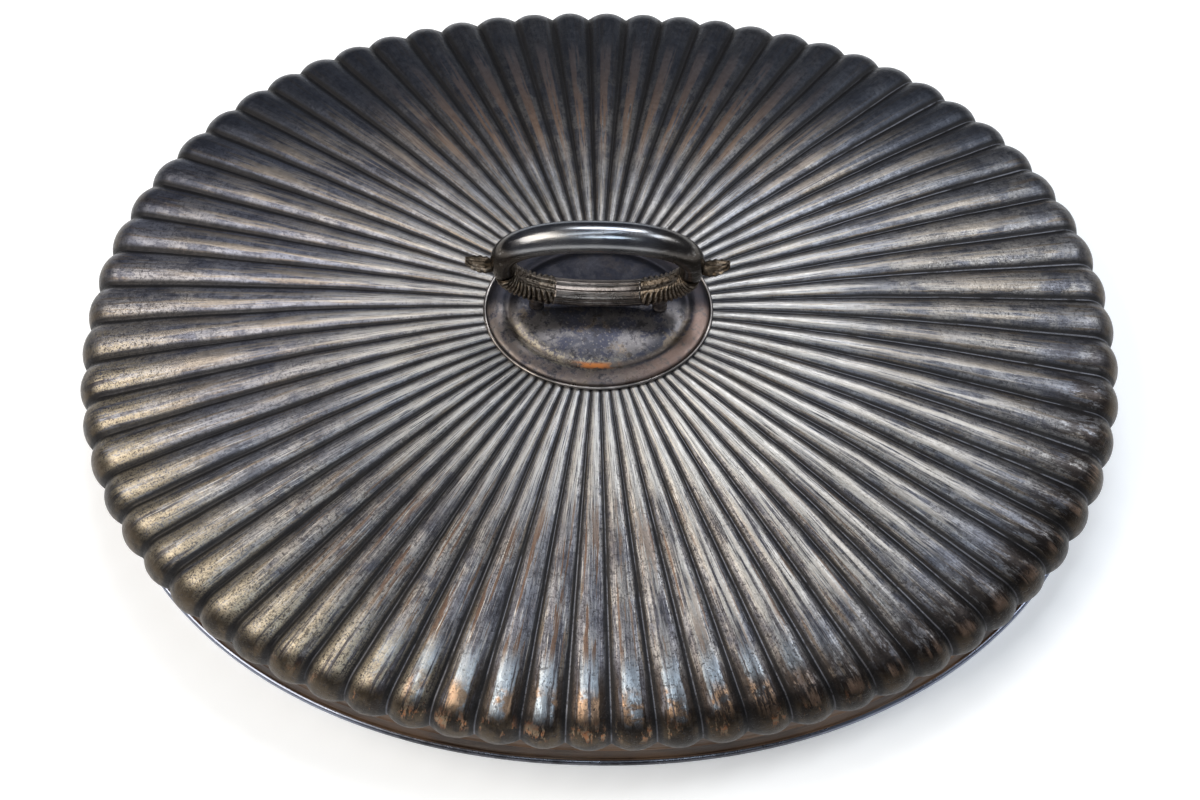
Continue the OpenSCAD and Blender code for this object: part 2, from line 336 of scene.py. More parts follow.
def crown_plate():
    """The pressed oval plate. Its outlines list [distance in from the edge, height over the seat] in mm."""
    border = [[0, 0], [0, 1.3], [0.15, 1.75], [0.6, 2.15], [1.3, 2.5], [2.6, 2.75], [4.4, 2.9], [6.2, 2.85]]
    groove = [[7.4, 2.5], [8.3, 2.12], [9.2, 1.98], [10.0, 2.1], [10.9, 2.5]]
    panel = [[11.8, 2.98], [12.9, 3.35], [14.2, 3.52], [16, 3.58]]
    rings = [crown_ring(i * MM, CROWN_Z + h * MM) for i, h in border + groove + panel]
    edge = rings[-1]
    for scale in np.linspace(1, 0.03, 22)[1:]:
        rings.append(edge * [scale, scale, 1] + [0, 0, 0.02 * MM * (1 - scale)])
    rings = np.array(rings)
    dent = waves(rings[..., 0], rings[..., 1], 0.03) * 0.07
    dent = dent + waves(rings[..., 0], rings[..., 1], 0.012) * 0.03
    reach = np.linspace(0, 1, len(rings)) > 0.12
    rings[..., 2] += np.minimum(dent, 0.04) * MM * reach[:, None]
    rings[..., 2] = np.minimum(rings[..., 2], PANEL_Z)
    piece = skin("crown_oval", rings)
    bore(piece, CROWN_Z - 2 * MM, PANEL_Z + 2 * MM)
    return piece


def crown_wire():
    r = 0.8 * MM
    rings = [crown_ring(-r - r * cos(a), CROWN_Z + r + r * sin(a)) for a in range(-90, 270, 30)]
    return skin("crown_edge_wire", rings, looped=True)


def backing_plate():
    low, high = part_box("backing_plate")
    margin, bevel, inward = 8 * MM, 0.3 * MM, 20 * MM
    rings = [crown_ring(margin + bevel + inward, low.z), crown_ring(margin + bevel, low.z),
             crown_ring(margin, low.z + bevel), crown_ring(margin, high.z),
             crown_ring(margin + inward, high.z)]
    piece = skin("inner_plate", rings)
    bore(piece, low.z - 2 * MM, high.z + 2 * MM)
    sharpen(piece)
    return piece


# ---- Handle ----

def signed_pow(v, p):
    return np.sign(v) * np.abs(v) ** p


def loop_point(a):
    return np.array([LOOP_HALF_L * signed_pow(cos(a), 2 / LOOP_POWER),
                     LOOP_Z + LOOP_HALF_H * signed_pow(sin(a), 2 / LOOP_POWER)])


def loop_ring(a, out_r, y_r, section):
    """One ring of a piece of the loop. section holds [outward, along Y] points that out_r and y_r scale."""
    here = loop_point(a)
    way = loop_point(a + 0.5) - loop_point(a - 0.5)
    out = np.array([way[1], -way[0]]) / np.linalg.norm(way)
    section = np.asarray(section)
    return np.stack([here[0] + out[0] * section[:, 0] * out_r, section[:, 1] * y_r,
                     here[1] + out[1] * section[:, 0] * out_r], -1)


def circle(n):
    turn = np.arange(n) * 360 / n
    return np.stack([cos(turn), sin(turn)], -1)


def handle_grip():
    steps = 110
    rings = []
    for i in range(steps + 1):
        share = i / steps
        a = GRIP_FROM + (GRIP_TO - GRIP_FROM) * share
        r = (GRIP_END_D + (GRIP_D - GRIP_END_D) * math.sin(math.pi * share) ** 0.8) / 2
        rings.append(loop_ring(a, r, r, circle(40)))
    return skin("grip", rings)


def top_groove(off):
    """The groove along the lower bar's top, between two beads, as a change of the section's scale."""
    inner = 180 - off
    bead = 0.06 * np.exp(-((inner - 21) / 4.5) ** 2) + 0.03 * np.exp(-((inner - 33) / 4) ** 2)
    return bead - 0.24 * (1 - smooth(9, 17, inner))


def reed_relief(turn):
    """Scale of the bar's oval section by angle.

    0 points out of the loop, 90 along +Y and 180 into the loop.
    """
    off = np.abs((turn + 180) % 360 - 180)
    reeds = 0.085 * (1 - np.abs(np.sin(np.radians(off * 180 / 38))) ** 0.7)
    return 1 - reeds * (1 - smooth(134, 142, off)) + top_groove(off)


def reeded_bar():
    columns = 144
    turn = np.arange(columns) * 360 / columns
    section = circle(columns) * reed_relief(turn)[:, None]
    steps = 36
    turns = np.linspace(REEDS_FROM, REEDS_TO, steps + 1)
    rings = [loop_ring(a, BAR_H / 2, BAR_W / 2, section) for a in turns]
    return skin("reeded_bar_shape", rings)


def leaf_arm(name, side):
    """Gadrooned arm: slanting ridges run over its front, back and underside, in lobes that overlap."""
    columns, steps, lobes, veins = 96, 170, 4, 11
    turn = np.arange(columns) * 360 / columns
    off = np.abs((turn + 180) % 360 - 180)
    rings = []
    relief = []
    for share in np.linspace(0, 1, steps + 1):
        lobe = (share * lobes) % 1
        swell = 1 + 0.05 * math.sin(math.pi * lobe) ** 0.6
        vein = np.abs(np.sin(math.pi * (share * veins - off / 62))) ** 0.7
        calm = smooth(0, 0.04, share) * (1 - smooth(0.95, 1, share))
        top = smooth(140, 156, off) * (1 - smooth(0.72, 0.95, share))
        groove = top_groove(off) * (1 - smooth(0.75, 0.97, share))
        scale = swell * (1 + (0.17 * vein - 0.12) * calm * (1 - top)) + groove
        out_r = (BAR_H + (GRIP_END_D - BAR_H) * share) / 2
        y_r = BAR_W / 2 * (1 - ARM_TAPER * share)
        a = REEDS_TO + (GRIP_FROM - REEDS_TO) * share
        rings.append(loop_ring(a, out_r, y_r, circle(columns) * scale[:, None]))
        relief.append(vein * (1 - top) + top)
    rings, relief = np.array(rings), np.array(relief)
    if side < 0:
        rings = rings[:, ::-1] * [-1, 1, 1]
        relief = relief[:, ::-1]
    return skin(name, rings, crest=relief)


def ear(name, side):
    """Leaf that curls out from the end of the loop: a spoon with a raised edge and a ribbed underside."""
    columns, steps, length = 48, 40, 12 * MM
    root_x = LOOP_HALF_L + GRIP_END_D / 2 - MM
    turn = np.arange(columns) * 360 / columns
    rings = []
    for i in range(steps + 1):
        share = i / steps
        half_w = (0.6 + 3.6 * sin(35 + 125 * share)) * MM
        half_t = (0.7 + 1.5 * (1 - share)) * MM
        scallop = 1 + 0.06 * math.sin(share * math.pi * 9) * smooth(0.1, 0.3, share)
        y = cos(turn) * half_w * scallop
        hollow = 0.75 * MM * smooth(0.1, 0.35, share) * (1 - smooth(0.85, 1, share)) * (1 - (y / half_w) ** 2)
        rib = 0.12 * MM * np.cos(y / half_w * math.pi * 3) * smooth(0.05, 0.3, share)
        up = sin(turn)
        middle = LOOP_Z - MM + 3.5 * MM * share ** 2
        z = middle + up * half_t - np.where(up > 0, hollow, 0) + rib * np.sign(up)
        x = np.full(columns, root_x + length * share)
        rings.append(np.stack([x, y, z], -1))
    rings = np.array(rings)
    if side < 0:
        rings = rings[:, ::-1] * [-1, 1, 1]
    return skin(name, rings)


# ---- Fastening ----

def foot(name, side):
    low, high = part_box("right_foot")
    base = [[1.9, 0.3], [2.8, 0.0], [3.1, 0.2], [3.2, 0.6], [3.1, 1.0], [2.75, 1.2], [2.65, 1.4]]
    collar = [[2.9, 1.65], [2.95, 1.95], [2.8, 2.25]]
    neck = [[2.7, 2.8], [2.65, 3.6], [2.7, 4.4], [2.85, 5.0]]
    bead = [[3.05, 5.3], [3.2, 5.7], [3.1, 6.1], [3.0, 6.5]]
    rings = [[r * MM, low.z + z * MM] for r, z in base + collar + neck + bead]
    rings += [[3.3 * MM, high.z - 2 * MM], [3.3 * MM, high.z - 0.3 * MM], [1.9 * MM, high.z]]
    return lathe(name, rings, side * FOOT_X)


def stud(name, side):
    """A stud with a V thread cut into it from end to end."""
    low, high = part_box("right_stud")
    columns, per_turn = 28, 6
    turn = np.arange(columns) * 360 / columns
    rings = []
    for z in np.arange(low.z + 0.3 * MM, high.z - 0.3 * MM, THREAD_PITCH / per_turn):
        phase = (z / THREAD_PITCH - turn / 360) % 1
        root = 0.32 * MM * (1 - np.abs(2 * phase - 1))
        r = STUD_R - root
        rings.append(np.stack([side * FOOT_X + r * cos(turn), r * sin(turn), np.full(columns, z)], -1))
    end_r = 1.5 * MM
    ends = []
    for z in (low.z, high.z):
        ends.append(np.stack([side * FOOT_X + end_r * cos(turn), end_r * sin(turn), np.full(columns, z)], -1))
    return skin(name, [ends[0]] + rings + [ends[1]])


def washer(name, side):
    low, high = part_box("right_washer")
    r, edge = WASHER_R, 0.18 * MM
    profile = [[BORE_R, low.z + edge], [BORE_R + edge, low.z], [r - 2 * edge, low.z], [r, low.z + edge],
               [r, high.z - edge], [r - edge, high.z], [BORE_R + edge, high.z], [BORE_R, high.z - edge]]
    turn = np.arange(64) * 360 / 64
    rings = [np.stack([side * FOOT_X + q * cos(turn), q * sin(turn), np.full(64, z)], -1) for q, z in profile]
    piece = skin(name, rings, looped=True)
    sharpen(piece)
    return piece


def wing(side, way):
    """One wing of a nut, as rounded sections that lean out and down from the hub.

    A station is [reach, height of its middle over the hub's foot, half its height, half its thickness] in mm.
    """
    nut_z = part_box("right_washer")[0].z - NUT_H
    columns = 28
    root = [[3.2, 2.2, 2.2, 1.15], [5.0, 2.0, 2.5, 1.15], [7.0, 0.6, 3.1, 1.05]]
    blade = [[9.0, -1.0, 3.5, 0.95], [11.0, -2.3, 3.3, 0.9], [12.5, -2.9, 2.5, 0.8]]
    stations = root + blade + [[13.3, -3.1, 1.3, 0.6], [13.5, -3.1, 0.5, 0.3]]
    rings = []
    for reach, middle, half_h, half_t in stations:
        section = circle(columns)
        x = side * FOOT_X + half_t * MM * signed_pow(section[:, 0], 0.8)
        z = nut_z + (middle + half_h * signed_pow(section[:, 1], 0.8)) * MM
        rings.append(np.stack([x, np.full(columns, way * reach * MM), z], -1))
    rings = np.array(rings)
    return skin("wing", rings[:, ::-1] if way > 0 else rings)


def wing_nut(name, side):
    nut_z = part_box("right_washer")[0].z - NUT_H
    profile = [[3.4, 0.0], [3.9, 0.15], [4.4, 0.9], [4.6, 2.4],
               [4.9, 3.6], [5.0, 4.2], [5.0, 4.85], [4.85, 5.0]]
    piece = lathe(name, [[r * MM, nut_z + z * MM] for r, z in profile], side * FOOT_X, 56)
    for way in (-1, 1):
        combine(piece, wing(side, way), "UNION")
    tap = lathe("tap", [[BORE_R, nut_z - 9 * MM], [BORE_R, nut_z + 7 * MM]], side * FOOT_X, 40)
    combine(piece, tap, "DIFFERENCE")
    sharpen(piece)
    return piece


# ---- Materials ----

class Look:
    """A material and a short way to write its nodes. Every method but finish returns an output socket."""

    def __init__(self, name):
        self.material = bpy.data.materials.new(name)
        self.material.use_nodes = True
        self.tree = self.material.node_tree
        self.shader = self.tree.nodes["Principled BSDF"]
        self.here = self.node("ShaderNodeTexCoord").outputs["Object"]

    def node(self, kind, **settings):
        made = self.tree.nodes.new(kind)
        for key, value in settings.items():
            setattr(made, key, value)
        return made

    def feed(self, socket, value):
        if isinstance(value, bpy.types.NodeSocket):
            self.tree.links.new(value, socket)
        elif isinstance(value, (tuple, list)) and socket.type == "RGBA":
            socket.default_value = (*value, 1)
        else:
            socket.default_value = value

    def math(self, operation, a, b=0.0, clamp=False):
        made = self.node("ShaderNodeMath", operation=operation, use_clamp=clamp)
        self.feed(made.inputs[0], a)
        self.feed(made.inputs[1], b)
        return made.outputs[0]

    def both(self, *factors):
        result = factors[0]
        for factor in factors[1:]:
            result = self.math("MULTIPLY", result, factor)
        return result

    def attribute(self, name):
        return self.node("ShaderNodeAttribute", attribute_name=name).outputs["Fac"]

    def between(self, value, low, high, out_low=0.0, out_high=1.0):
        """A smooth step: out_low below low, out_high above high."""
        made = self.node("ShaderNodeMapRange", interpolation_type="SMOOTHSTEP")
        for socket, number in zip(made.inputs, (value, low, high, out_low, out_high)):
            self.feed(socket, number)
        return made.outputs[0]

    def noise(self, scale, detail=4.0, roughness=0.55, vector=None, distortion=0.0):
        made = self.node("ShaderNodeTexNoise")
        self.feed(made.inputs["Vector"], vector or self.here)
        self.feed(made.inputs["Scale"], scale)
        self.feed(made.inputs["Detail"], detail)
        self.feed(made.inputs["Roughness"], roughness)
        self.feed(made.inputs["Distortion"], distortion)
        return made.outputs[0]

    def speckle(self, scale, low, high, vector=None):
        """Small scattered spots: 1 in a spot, 0 around it."""
        return self.between(self.noise(scale, 2.0, 0.5, vector), low, high)

    def position(self):
        made = self.node("ShaderNodeSeparateXYZ")
        self.feed(made.inputs[0], self.here)
        return made.outputs

    def vector(self, x, y, z=0.0):
        made = self.node("ShaderNodeCombineXYZ")
        for socket, value in zip(made.inputs, (x, y, z)):
            self.feed(socket, value)
        return made.outputs[0]

    def stretched(self, x, y, z):
        made = self.node("ShaderNodeMapping")
        self.feed(made.inputs["Vector"], self.here)
        made.inputs["Scale"].default_value = (x, y, z)
        return made.outputs[0]

    def mix(self, factor, a, b, blend="MIX"):
        made = self.node("ShaderNodeMix", data_type="RGBA", blend_type=blend)
        self.feed(made.inputs[0], factor)
        self.feed(made.inputs[6], a)
        self.feed(made.inputs[7], b)
        return made.outputs[2]

    def bump(self, height, distance, normal=None, strength=1.0):
        made = self.node("ShaderNodeBump")
        made.inputs["Strength"].default_value = strength
        made.inputs["Distance"].default_value = distance
        self.feed(made.inputs["Height"], height)
        if normal is not None:
            self.feed(made.inputs["Normal"], normal)
        return made.outputs[0]

    def finish(self, color, roughness, metallic=1.0, normal=None):
        self.feed(self.shader.inputs["Base Color"], color)
        self.feed(self.shader.inputs["Roughness"], roughness)
        self.feed(self.shader.inputs["Metallic"], metallic)
        if normal is not None:
            self.feed(self.shader.inputs["Normal"], normal)
        return self.material


class DomeMasks:
    """What the dome's tarnish and painted light follow: places on it, noises stretched along the flutes, and
    pits.

    crest is 1 on a ridge and 0 in a valley, and along is the distance up from a flute's tip.
    """

    def __init__(self, look):
        self.crest = look.attribute("crest")
        self.along = look.attribute("along")
        place_ = look.attribute("place")
        self.outer = look.attribute("outer")
        self.x, self.y, _ = look.position()
        self.aside = look.math("ABSOLUTE", self.x)
        self.streaks = self.grained(look, place_, 7.0, 22.0, 4.0, 0.6)
        self.hairs = self.grained(look, place_, 26.0, 60.0, 3.0, 0.6)
        self.ragged = self.grained(look, place_, 5.0, 75.0, 6.0, 0.72)
        self.clouds = look.noise(13.0, 3.0)
        self.blotches = look.noise(70.0, 5.0, 0.62)
        self.mottle = look.noise(420.0, 4.0, 0.65)
        spotted = look.math("ADD", self.clouds, look.math("MULTIPLY", self.y, -1.2))
        pits = look.math("MAXIMUM", look.speckle(1300.0, 0.60, 0.68), look.speckle(520.0, 0.62, 0.67))
        self.pits = look.both(pits, look.between(spotted, 0.42, 0.75))
        self.front = look.both(look.between(self.y, -0.05, -0.1), look.between(self.aside, 0.15, 0.06))
        self.reach = look.math("ADD", self.along, look.math("MULTIPLY", self.ragged, 0.014))

    def grained(self, look, place_, across, lengthwise, detail, roughness):
        """A noise that runs along the flutes."""
        across = look.math("MULTIPLY", place_, across)
        lengthwise = look.math("MULTIPLY", self.along, lengthwise)
        return look.noise(1.0, detail, roughness, look.vector(across, lengthwise))


def bare_silver(look, wear):
    """Mottled grey plate with dark ragged patches, grit, and hair-fine scratches at the front."""
    silver = look.mix(look.between(wear.clouds, 0.38, 0.62), (0.20, 0.207, 0.235), (0.30, 0.28, 0.255))
    silver = look.mix(look.between(wear.blotches, 0.47, 0.6, 0.0, 0.9), silver, (0.128, 0.13, 0.148))
    silver = look.mix(look.between(wear.streaks, 0.52, 0.6, 0.0, 0.85), silver, (0.19, 0.15, 0.11))
    silver = look.mix(look.between(wear.ragged, 0.53, 0.57, 0.0, 0.7), silver, (0.075, 0.075, 0.088))
    grit = look.noise(800.0, 4.0, 0.7)
    silver = look.mix(look.between(grit, 0.52, 0.6, 0.0, 0.6), silver, (0.06, 0.058, 0.062))
    rough = look.between(wear.y, 0.0, -0.09, 0.25, 1.0)
    dark_hairs = look.both(look.between(wear.hairs, 0.47, 0.36, 0.0, 0.65), rough)
    silver = look.mix(dark_hairs, silver, (0.055, 0.055, 0.06))
    pale_hairs = look.both(look.between(wear.hairs, 0.56, 0.66, 0.0, 0.75), rough)
    return look.mix(pale_hairs, silver, (0.50, 0.48, 0.45))


def cloud_silver(look, wear, silver):
    """Tarnish lies in clouds a hand wide, cooler at the left, with more dark streaks at the front."""
    banks = look.noise(7.0, 3.0, 0.5)
    silver = look.mix(look.between(banks, 0.42, 0.58, 0.0, 0.9), silver, (0.70, 0.71, 0.75), "MULTIPLY")
    cool = look.both(look.between(wear.x, -0.04, -0.14), look.between(wear.y, -0.10, -0.01))
    silver = look.mix(cool, silver, (0.80, 0.84, 0.98), "MULTIPLY")
    near = look.both(look.between(wear.y, -0.02, -0.09), look.between(wear.aside, 0.16, 0.08))
    near = look.both(near, look.between(wear.streaks, 0.50, 0.44))
    return look.mix(near, silver, (0.62, 0.60, 0.62), "MULTIPLY")


def rubbed_ridges(look, wear):
    """Where copper shows: on the ridges half way up the back and the front."""
    back = look.both(look.between(wear.y, 0.04, 0.09), look.between(wear.aside, 0.12, 0.07))
    half_way = look.both(look.between(wear.along, 0.045, 0.06), look.between(wear.along, 0.15, 0.115))
    behind = look.both(back, look.between(wear.streaks, 0.42, 0.46), look.between(wear.crest, 0.86, 0.92))
    before = look.both(wear.front, look.between(wear.streaks, 0.54, 0.58),
                       look.between(wear.crest, 0.6, 0.75))
    return look.both(look.math("MAXIMUM", behind, before), half_way)


def paint_shoulder_highlight(look, wear, silver):
    """At the front shoulder, a painted blue-white highlight along the ridges, painted dark brown shade beside
    them, and orange below.
    """
    shoulder = look.both(look.between(wear.along, 0.020, 0.027), look.between(wear.along, 0.058, 0.036))
    shoulder = look.both(shoulder, look.between(wear.y, -0.10, -0.14), look.between(wear.aside, 0.11, 0.05))
    ridge = look.math("ADD", wear.crest, look.math("MULTIPLY", wear.ragged, 0.5))
    # Painted light: a blue-white highlight on each ridge and dark brown shade on its flanks
    shoulder_light_and_copper = look.mix(look.between(ridge, 1.02, 1.12), (0.030, 0.020, 0.014), (0.44, 0.51, 0.58))
    glow = look.both(look.between(wear.reach, 0.048, 0.040), look.between(ridge, 0.95, 1.05))
    shoulder_light_and_copper = look.mix(look.both(glow, look.between(wear.blotches, 0.44, 0.52)), shoulder_light_and_copper, (0.42, 0.27, 0.17))
    return look.mix(look.both(shoulder, look.between(wear.streaks, 0.38, 0.45), 0.92), silver, shoulder_light_and_copper)


def darken_front_and_warm_highlight(look, wear, silver):
    """Dark brown low on the front, most of it at the right, and a painted warm gold highlight at the front
    left.
    """
    # Dark brown patches low on the front, most of them at the right
    low_front_darkening = look.both(look.between(wear.along, 0.055, 0.03), look.between(wear.ragged, 0.46, 0.5),
                         look.between(wear.y, 0.02, -0.03))
    low_front_darkening = look.both(low_front_darkening, look.between(wear.x, 0.0, 0.08, 0.6, 0.95))
    silver = look.mix(low_front_darkening, silver, (0.038, 0.030, 0.027))
    # Painted highlight: a warm gold reflection on the tips at the front left
    warm_highlight = look.both(look.between(wear.along, 0.075, 0.03), look.between(wear.x, -0.03, -0.10),
                       look.between(wear.y, 0.03, -0.03))
    warm_highlight = look.both(warm_highlight, look.between(look.noise(1200.0, 4.0, 0.7), 0.58, 0.50),
                       look.between(wear.streaks, 0.40, 0.5), 0.75)
    return look.mix(warm_highlight, silver, (0.37, 0.32, 0.235))


def bronze_tips(look, wear, silver):
    """Olive brown tips, tarnish darkened further as painted shade, with paler edges. Orange copper shows at
    the front, and painted glints at the front right.
    """
    # Brown tarnish on the tips, darkened further as painted shade
    bronze = look.mix(look.between(wear.blotches, 0.42, 0.55), (0.018, 0.013, 0.009), (0.062, 0.045, 0.028))
    orange = look.mix(look.between(wear.mottle, 0.4, 0.6), (0.30, 0.13, 0.06), (0.27, 0.20, 0.13))
    low_ends = look.both(wear.front, look.between(wear.ragged, 0.54, 0.57),
                         look.between(wear.along, 0.014, 0.02))
    bronze = look.mix(low_ends, bronze, orange)
    # Painted highlight: small warm glints on the ridges at the front right
    glints = look.both(look.between(wear.x, 0.05, 0.10), look.between(wear.y, -0.03, -0.08),
                       look.between(wear.crest, 0.75, 0.92))
    glints = look.both(glints, look.between(wear.along, 0.020, 0.026), look.between(wear.streaks, 0.42, 0.52))
    bronze = look.mix(glints, bronze, (0.62, 0.42, 0.30))
    return look.mix(look.both(look.between(wear.reach, 0.036, 0.028), 0.95), silver, bronze)


def grimy_valleys(look, wear):
    return look.between(look.math("ADD", wear.crest, look.math("MULTIPLY", wear.streaks, 0.3)), 0.72, 0.36)


def darken_dome(look, wear, silver, grime):
    """The back is darkest, and grime fills every valley but for a painted highlight line along its bottom.

    Pits are darker too, and the tips at the front right are darkened as painted shade.
    """
    dark_back = look.both(look.between(wear.y, 0.03, 0.13), look.between(wear.along, 0.16, 0.05))
    silver = look.mix(look.both(dark_back, 0.85), silver, (0.026, 0.030, 0.040))
    right = look.math("ADD", wear.x, look.math("MULTIPLY", wear.y, -0.8))
    # Painted highlight: a thin pale line along the bottom of each valley, at the front and right
    valley_highlight = look.both(look.between(wear.crest, 0.05, 0.012), look.between(wear.blotches, 0.35, 0.5))
    valley_highlight = look.both(valley_highlight, look.between(right, -0.02, 0.06))
    silver = look.mix(look.both(grime, 0.93), silver, (0.024, 0.023, 0.024))
    silver = look.mix(look.both(valley_highlight, 0.6), silver, (0.20, 0.205, 0.235))
    silver = look.mix(look.both(wear.pits, 0.7), silver, (0.04, 0.035, 0.035))
    # Painted shade: the tips at the front right are multiplied darker
    shaded_tips = look.both(look.between(wear.along, 0.050, 0.030), look.between(wear.x, 0.0, 0.07))
    shaded_tips = look.both(shaded_tips, look.between(wear.y, -0.04, -0.09))
    return look.mix(look.both(shaded_tips, 0.85), silver, (0.40, 0.38, 0.37), "MULTIPLY")


def paint_ridge_highlights(look, wear, silver):
    """Painted highlights on the ridges: pale at both sides of the middle, bright at the front right and round
    the crown.
    """
    # Painted sheen: pale ridges at both sides of the middle
    sheen = look.both(look.between(wear.y, -0.06, 0.0), look.between(wear.y, 0.13, 0.07),
                      look.between(wear.along, 0.04, 0.07))
    sheen = look.both(sheen, look.between(wear.crest, 0.55, 0.9), look.between(wear.streaks, 0.44, 0.56), 0.5)
    silver = look.mix(look.both(sheen, look.between(wear.aside, 0.05, 0.09)), silver, (0.40, 0.355, 0.305))
    # Painted highlight: bright ridges at the front right
    right = look.both(look.between(wear.along, 0.045, 0.08), look.between(wear.x, 0.0, 0.06),
                      look.between(wear.y, 0.0, -0.05))
    right = look.both(right, look.between(wear.crest, 0.70, 0.92), look.between(wear.streaks, 0.42, 0.52))
    silver = look.mix(look.both(right, 0.7), silver, (0.52, 0.485, 0.44))
    # Painted highlight: pale ridges round the crown
    crown_highlight = look.both(look.between(wear.along, 0.10, 0.15), look.between(wear.crest, 0.62, 0.85),
                           look.between(wear.hairs, 0.42, 0.5))
    crown_highlight = look.both(crown_highlight, look.between(wear.y, 0.08, 0.0, 0.25, 0.7))
    return look.mix(crown_highlight, silver, (0.50, 0.48, 0.45))


def dome_look():
    look = Look("tarnished_dome_painted_light")
    wear = DomeMasks(look)
    silver = cloud_silver(look, wear, bare_silver(look, wear))
    rubbed = rubbed_ridges(look, wear)
    copper = look.mix(look.between(wear.y, -0.02, 0.02), (0.105, 0.058, 0.038), (0.165, 0.098, 0.06))
    silver = look.mix(look.both(rubbed, 0.92), silver, copper)
    silver = paint_shoulder_highlight(look, wear, silver)
    silver = darken_front_and_warm_highlight(look, wear, silver)
    silver = bronze_tips(look, wear, silver)
    grime = grimy_valleys(look, wear)
    silver = paint_ridge_highlights(look, wear, darken_dome(look, wear, silver, grime))

    inside = look.mix(wear.blotches, (0.30, 0.28, 0.26), (0.45, 0.44, 0.43))
    grimy = look.math("MULTIPLY", grime, 0.15)
    roughness = look.math("ADD", look.between(wear.mottle, 0.3, 0.7, 0.33, 0.46), grimy)
    normal = look.bump(wear.mottle, 0.00012)
    normal = look.bump(wear.streaks, 0.00018, normal)
    normal = look.bump(wear.pits, -0.00008, normal)
    metallic = look.math("SUBTRACT", 0.86, look.math("MULTIPLY", rubbed, 0.35))
    return look.finish(look.mix(wear.outer, inside, silver), roughness, metallic, normal)


def band_look():
    look = Look("brown_band")
    streak = look.noise(1.0, 4.0, 0.6, look.stretched(18, 18, 900))
    clouds = look.noise(25.0, 4.0)
    color = look.mix(look.between(clouds, 0.4, 0.62), (0.055, 0.034, 0.023), (0.125, 0.076, 0.048))
    color = look.mix(look.between(streak, 0.5, 0.66, 0.0, 0.7), color, (0.165, 0.13, 0.105))
    normal = look.bump(look.noise(600.0, 3.0), 0.0001)
    return look.finish(color, look.between(clouds, 0.3, 0.7, 0.3, 0.5), 1.0, normal)


def wire_look():
    look = Look("worn_wire_lit_ends")
    worn = look.noise(60.0, 5.0, 0.65)
    x, _, _ = look.position()
    color = look.mix(look.between(worn, 0.42, 0.6), (0.045, 0.045, 0.052), (0.13, 0.133, 0.155))
    # Painted highlight: the wire is pale blue-lavender towards both ends
    aside = look.between(look.math("ABSOLUTE", x), 0.07, 0.12, 0.0, 0.85)
    color = look.mix(aside, color, (0.30, 0.33, 0.42))
    normal = look.bump(look.noise(700.0, 3.0), 0.00008)
    return look.finish(color, look.between(worn, 0.3, 0.7, 0.34, 0.24), 1.0, normal)


def crown_look():
    look = Look("mottled_crown")
    x, y, z = look.position()
    clouds = look.noise(38.0, 4.0, 0.6, distortion=0.6)
    blotches = look.noise(130.0, 6.0, 0.72)
    crisp = look.noise(240.0, 6.0, 0.75)
    color = look.mix(look.between(clouds, 0.42, 0.56), (0.06, 0.06, 0.073), (0.15, 0.14, 0.142))
    color = look.mix(look.between(blotches, 0.5, 0.56), color, (0.06, 0.062, 0.085))
    color = look.mix(look.between(look.noise(60.0, 5.0, 0.7), 0.54, 0.6), color, (0.19, 0.155, 0.125))
    color = look.mix(look.between(crisp, 0.53, 0.58, 0.0, 0.7), color, (0.035, 0.033, 0.038))
    specks = look.noise(700.0, 5.0, 0.7)
    color = look.mix(look.between(specks, 0.56, 0.62, 0.0, 0.55), color, (0.24, 0.22, 0.21))

    # A worn, freckled edge runs round the front of the panel, with brown in the groove below it
    far = look.math("ADD", look.math("POWER", look.math("DIVIDE", x, 0.0415), 2.0),
                    look.math("POWER", look.math("DIVIDE", y, 0.032), 2.0))
    inner = look.between(far, 1.06, 0.94)
    edge = look.both(look.between(far, 0.58, 0.74), inner, look.between(y, -0.004, -0.012))
    fine = look.noise(520.0, 5.0, 0.72)
    freckles = look.both(edge, look.between(fine, 0.50, 0.55), look.between(x, 0.025, -0.005))
    color = look.mix(look.both(freckles, 0.85), color, (0.30, 0.27, 0.215))
    low = look.between(z, CROWN_Z + 2.7 * MM, CROWN_Z + 2.0 * MM)
    groove = look.both(low, inner)
    color = look.mix(look.both(groove, 0.55), color, (0.10, 0.075, 0.05))
    spot = look.both(groove, look.between(y, -0.02, -0.026), look.between(x, 0.012, 0.0))
    spot = look.both(spot, look.between(x, -0.012, -0.004), look.between(blotches, 0.42, 0.5))
    color = look.mix(spot, color, (0.42, 0.15, 0.045))

    # The border is rubbed to copper on the right, and the panel is darkest behind the handle
    border = look.math("SUBTRACT", 1.0, inner)
    color = look.mix(look.both(border, look.between(crisp, 0.6, 0.46), 0.75), color, (0.155, 0.125, 0.11))
    rubbed = look.both(border, look.between(x, 0.0, 0.035), look.between(crisp, 0.40, 0.5))
    color = look.mix(look.both(rubbed, 0.75), color, (0.24, 0.165, 0.135))
    behind = look.both(look.between(y, -0.006, 0.004), 0.93)
    color = look.mix(behind, color, (0.009, 0.0095, 0.014))
    normal = look.bump(blotches, 0.00025)
    normal = look.bump(look.noise(900.0, 3.0), 0.00008, normal)
    return look.finish(color, look.between(blotches, 0.3, 0.7, 0.38, 0.52), 0.9, normal)


def bright_look():
    look = Look("bright_wire")
    worn = look.noise(90.0, 4.0, 0.6)
    color = look.mix(look.between(worn, 0.4, 0.6), (0.13, 0.12, 0.115), (0.30, 0.27, 0.25))
    return look.finish(color, look.between(worn, 0.3, 0.7, 0.4, 0.25), 1.0, look.bump(worn, 0.0001))


def inner_look():
    look = Look("dull_inner_plate")
    clouds = look.noise(60.0, 5.0, 0.6)
    rings = look.noise(1.0, 3.0, 0.6, look.stretched(20, 700, 20))
    color = look.mix(clouds, (0.30, 0.28, 0.26), (0.46, 0.45, 0.43))
    color = look.mix(look.between(rings, 0.5, 0.7, 0.0, 0.4), color, (0.2, 0.18, 0.16))
    return look.finish(color, look.between(clouds, 0.3, 0.7, 0.4, 0.55), 1.0, look.bump(rings, 0.0001))


